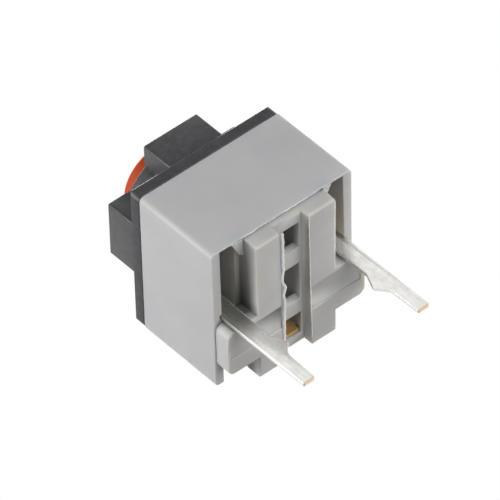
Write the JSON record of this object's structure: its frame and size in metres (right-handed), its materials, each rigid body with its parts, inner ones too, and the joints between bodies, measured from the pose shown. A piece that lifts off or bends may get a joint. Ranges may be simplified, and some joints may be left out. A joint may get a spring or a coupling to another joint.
{
  "type": "tactile push button switch",
  "caption": "Square through-hole push button switch with a round plunger between guard blocks, a grey housing on a ribbed contact base and flat terminals with stop shoulders.",
  "frame": {"origin": "middle of the face that seats on the circuit board, half way between the two terminals", "axes": "+Z out of the plunger, +X from the left terminal to the right one, +Y towards the housing side with the two pocket outlets"},
  "size_m": [0.0124, 0.0124, 0.0215],
  "materials": {
    "housing_plastic": "satin moulded, light grey",
    "base_plastic": "satin moulded, light grey",
    "cover_plastic": "fine moulded grain, charcoal",
    "plunger_plastic": "satin moulded, orange red",
    "silicone": "matt silicone, milky",
    "spring_steel": "drawn wire",
    "natural_plastic": "unfilled, natural white",
    "film": "thin amber film",
    "bronze": "rolled spring bronze",
    "silver": "bright contact silver",
    "tinned_brass": "tin plated, cut ends bare"
  },
  "bodies": {
    "switch_body": {"housing": "housing_plastic", "contact_base": "base_plastic", "cover": "cover_plastic", "spring_seat": "natural_plastic", "return_spring": "spring_steel", "dome_film": "film", "snap_dome": "bronze", "centre_contact": "silver", "terminal_left": "tinned_brass", "terminal_right": "tinned_brass"},
    "plunger": {"plunger": "plunger_plastic", "pressure_pad": "silicone"}
  },
  "joints": [
    {"name": "plunger_press", "type": "slide", "parent": "switch_body", "child": "plunger", "axis": [0, 0, -1], "range_m": [0, 0.0006], "stiffness_N_per_m": 500, "springref_m": -0.002, "deforming": ["return_spring", "snap_dome", "dome_film"]}
  ]
}
